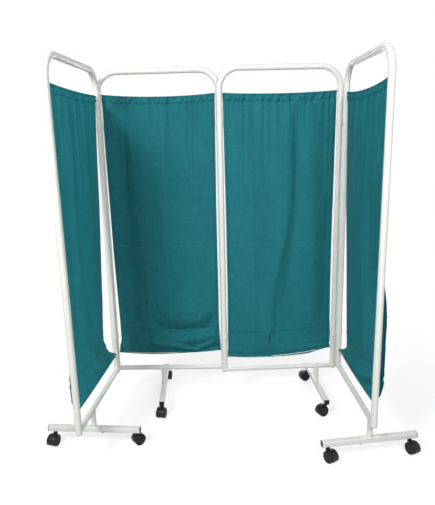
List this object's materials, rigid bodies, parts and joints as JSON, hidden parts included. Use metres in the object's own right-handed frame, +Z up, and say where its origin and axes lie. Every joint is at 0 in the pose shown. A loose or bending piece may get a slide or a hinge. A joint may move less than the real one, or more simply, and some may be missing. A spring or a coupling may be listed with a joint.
{
  "type": "folding ward screen",
  "caption": "Folding privacy screen of tube-framed panels with hanging curtains, joined by strap clips and standing on wheeled T feet.",
  "frame": {"origin": "middle of the screen as it stands in the picture, on the floor", "axes": "+Z up, +X to the right of the viewer in front, +Y away from the viewer"},
  "size_m": [1.6896, 0.86, 1.7125],
  "materials": {
    "powder_coat": "off-white powder coat, semi-gloss",
    "teal_cloth": "plain-weave polyester cotton, matt",
    "wire_steel": "plain drawn wire",
    "black_plastic": "moulded black plastic",
    "hood_plastic": "moulded dark grey plastic with a fine grain",
    "wheel_plastic": "moulded black nylon"
  },
  "bodies": {
    "panel_1": {"frame_1": "powder_coat", "base_1": "powder_coat", "curtain_1": "teal_cloth", "top_wire_1": "wire_steel", "bottom_wire_1": "wire_steel", "end_plug_1_left": "black_plastic", "end_plug_1_right": "black_plastic"},
    "panel_2": {"frame_2": "powder_coat", "base_2": "powder_coat", "curtain_2": "teal_cloth", "top_wire_2": "wire_steel", "bottom_wire_2": "wire_steel", "end_plug_2_front": "black_plastic", "end_plug_2_back": "black_plastic", "clip_12_upper": "powder_coat", "clip_12_lower": "powder_coat"},
    "panel_3": {"frame_3": "powder_coat", "base_3": "powder_coat", "curtain_3": "teal_cloth", "top_wire_3": "wire_steel", "bottom_wire_3": "wire_steel", "end_plug_3_front": "black_plastic", "end_plug_3_back": "black_plastic", "clip_23_upper": "powder_coat", "clip_23_lower": "powder_coat"},
    "panel_4": {"frame_4": "powder_coat", "base_4": "powder_coat", "curtain_4": "teal_cloth", "top_wire_4": "wire_steel", "bottom_wire_4": "wire_steel", "end_plug_4_left": "black_plastic", "end_plug_4_right": "black_plastic", "clip_34_upper": "powder_coat", "clip_34_lower": "powder_coat"},
    "caster_1_left": {"caster_1_left_hood": "hood_plastic"},
    "caster_1_left_wheel_a": {"caster_1_left_wheel_a": "wheel_plastic"},
    "caster_1_left_wheel_b": {"caster_1_left_wheel_b": "wheel_plastic"},
    "caster_1_right": {"caster_1_right_hood": "hood_plastic"},
    "caster_1_right_wheel_a": {"caster_1_right_wheel_a": "wheel_plastic"},
    "caster_1_right_wheel_b": {"caster_1_right_wheel_b": "wheel_plastic"},
    "caster_2_front": {"caster_2_front_hood": "hood_plastic"},
    "caster_2_front_wheel_a": {"caster_2_front_wheel_a": "wheel_plastic"},
    "caster_2_front_wheel_b": {"caster_2_front_wheel_b": "wheel_plastic"},
    "caster_2_back": {"caster_2_back_hood": "hood_plastic"},
    "caster_2_back_wheel_a": {"caster_2_back_wheel_a": "wheel_plastic"},
    "caster_2_back_wheel_b": {"caster_2_back_wheel_b": "wheel_plastic"},
    "caster_3_front": {"caster_3_front_hood": "hood_plastic"},
    "caster_3_front_wheel_a": {"caster_3_front_wheel_a": "wheel_plastic"},
    "caster_3_front_wheel_b": {"caster_3_front_wheel_b": "wheel_plastic"},
    "caster_3_back": {"caster_3_back_hood": "hood_plastic"},
    "caster_3_back_wheel_a": {"caster_3_back_wheel_a": "wheel_plastic"},
    "caster_3_back_wheel_b": {"caster_3_back_wheel_b": "wheel_plastic"},
    "caster_4_left": {"caster_4_left_hood": "hood_plastic"},
    "caster_4_left_wheel_a": {"caster_4_left_wheel_a": "wheel_plastic"},
    "caster_4_left_wheel_b": {"caster_4_left_wheel_b": "wheel_plastic"},
    "caster_4_right": {"caster_4_right_hood": "hood_plastic"},
    "caster_4_right_wheel_a": {"caster_4_right_wheel_a": "wheel_plastic"},
    "caster_4_right_wheel_b": {"caster_4_right_wheel_b": "wheel_plastic"}
  },
  "joints": [
    {"name": "panel_1_fold", "type": "hinge", "parent": "panel_2", "child": "panel_1", "pos_m": [-0.59947, 0.16096, 0.9035], "axis": [0, 0, 1], "range_deg": [-110, 89.5]},
    {"name": "panel_3_fold", "type": "hinge", "parent": "panel_2", "child": "panel_3", "pos_m": [-0.02147, 0.19176, 0.9035], "axis": [0, 0, 1], "range_deg": [-40, 176.5]},
    {"name": "panel_4_fold", "type": "hinge", "parent": "panel_3", "child": "panel_4", "pos_m": [0.56039, 0.19461, 0.9035], "axis": [0, 0, -1], "range_deg": [-120, 89]},
    {"name": "caster_1_left_swivel", "type": "hinge", "parent": "panel_1", "child": "caster_1_left", "pos_m": [-0.81196, -0.22561, 0.066], "axis": [0, 0, 1], "continuous": true},
    {"name": "caster_1_left_wheel_a_roll", "type": "hinge", "parent": "caster_1_left", "child": "caster_1_left_wheel_a", "pos_m": [-0.82968, -0.24053, 0.025], "axis": [0.9659, -0.2588, 0], "continuous": true},
    {"name": "caster_1_left_wheel_b_roll", "type": "hinge", "parent": "caster_1_left", "child": "caster_1_left_wheel_b", "pos_m": [-0.80408, -0.24739, 0.025], "axis": [0.9659, -0.2588, 0], "continuous": true},
    {"name": "caster_1_right_swivel", "type": "hinge", "parent": "panel_1", "child": "caster_1_right", "pos_m": [-0.43567, -0.24862, 0.066], "axis": [0, 0, 1], "continuous": true},
    {"name": "caster_1_right_wheel_a_roll", "type": "hinge", "parent": "caster_1_right", "child": "caster_1_right_wheel_a", "pos_m": [-0.41259, -0.24656, 0.025], "axis": [-0.6428, 0.766, 0], "continuous": true},
    {"name": "caster_1_right_wheel_b_roll", "type": "hinge", "parent": "caster_1_right", "child": "caster_1_right_wheel_b", "pos_m": [-0.42963, -0.22626, 0.025], "axis": [-0.6428, 0.766, 0], "continuous": true},
    {"name": "caster_2_front_swivel", "type": "hinge", "parent": "panel_2", "child": "caster_2_front", "pos_m": [-0.3395, 0.00357, 0.066], "axis": [0, 0, 1], "continuous": true},
    {"name": "caster_2_front_wheel_a_roll", "type": "hinge", "parent": "caster_2_front", "child": "caster_2_front_wheel_a", "pos_m": [-0.35585, -0.01284, 0.025], "axis": [0.9848, -0.1736, 0], "continuous": true},
    {"name": "caster_2_front_wheel_b_roll", "type": "hinge", "parent": "caster_2_front", "child": "caster_2_front_wheel_b", "pos_m": [-0.32975, -0.01744, 0.025], "axis": [0.9848, -0.1736, 0], "continuous": true},
    {"name": "caster_2_back_swivel", "type": "hinge", "parent": "panel_2", "child": "caster_2_back", "pos_m": [-0.3612, 0.37995, 0.066], "axis": [0, 0, 1], "continuous": true},
    {"name": "caster_2_back_wheel_a_roll", "type": "hinge", "parent": "caster_2_back", "child": "caster_2_back_wheel_a", "pos_m": [-0.34634, 0.39772, 0.025], "axis": [-0.9962, 0.0872, 0], "continuous": true},
    {"name": "caster_2_back_wheel_b_roll", "type": "hinge", "parent": "caster_2_back", "child": "caster_2_back_wheel_b", "pos_m": [-0.37274, 0.40003, 0.025], "axis": [-0.9962, 0.0872, 0], "continuous": true},
    {"name": "caster_3_front_swivel", "type": "hinge", "parent": "panel_3", "child": "caster_3_front", "pos_m": [0.48903, 0.00175, 0.066], "axis": [0, 0, 1], "continuous": true},
    {"name": "caster_3_front_wheel_a_roll", "type": "hinge", "parent": "caster_3_front", "child": "caster_3_front_wheel_a", "pos_m": [0.46621, 0.00573, 0.025], "axis": [0.4226, -0.9063, 0], "continuous": true},
    {"name": "caster_3_front_wheel_b_roll", "type": "hinge", "parent": "caster_3_front", "child": "caster_3_front_wheel_b", "pos_m": [0.47741, -0.01829, 0.025], "axis": [0.4226, -0.9063, 0], "continuous": true},
    {"name": "caster_3_back_swivel", "type": "hinge", "parent": "panel_3", "child": "caster_3_back", "pos_m": [0.45749, 0.37743, 0.066], "axis": [0, 0, 1], "continuous": true},
    {"name": "caster_3_back_wheel_a_roll", "type": "hinge", "parent": "caster_3_back", "child": "caster_3_back_wheel_a", "pos_m": [0.43571, 0.38531, 0.025], "axis": [0.2588, -0.9659, 0], "continuous": true},
    {"name": "caster_3_back_wheel_b_roll", "type": "hinge", "parent": "caster_3_back", "child": "caster_3_back_wheel_b", "pos_m": [0.44256, 0.35971, 0.025], "axis": [0.2588, -0.9659, 0], "continuous": true},
    {"name": "caster_4_left_swivel", "type": "hinge", "parent": "panel_4", "child": "caster_4_left", "pos_m": [0.43095, -0.36589, 0.066], "axis": [0, 0, 1], "continuous": true},
    {"name": "caster_4_left_wheel_a_roll", "type": "hinge", "parent": "caster_4_left", "child": "caster_4_left_wheel_a", "pos_m": [0.431, -0.38905, 0.025], "axis": [0.8192, 0.5736, 0], "continuous": true},
    {"name": "caster_4_left_wheel_b_roll", "type": "hinge", "parent": "caster_4_left", "child": "caster_4_left_wheel_b", "pos_m": [0.4527, -0.37385, 0.025], "axis": [0.8192, 0.5736, 0], "continuous": true},
    {"name": "caster_4_right_swivel", "type": "hinge", "parent": "panel_4", "child": "caster_4_right", "pos_m": [0.80351, -0.30821, 0.066], "axis": [0, 0, 1], "continuous": true},
    {"name": "caster_4_right_wheel_a_roll", "type": "hinge", "parent": "caster_4_right", "child": "caster_4_right_wheel_a", "pos_m": [0.80073, -0.33121, 0.025], "axis": [0.8829, 0.4695, 0], "continuous": true},
    {"name": "caster_4_right_wheel_b_roll", "type": "hinge", "parent": "caster_4_right", "child": "caster_4_right_wheel_b", "pos_m": [0.82413, -0.31877, 0.025], "axis": [0.8829, 0.4695, 0], "continuous": true}
  ]
}
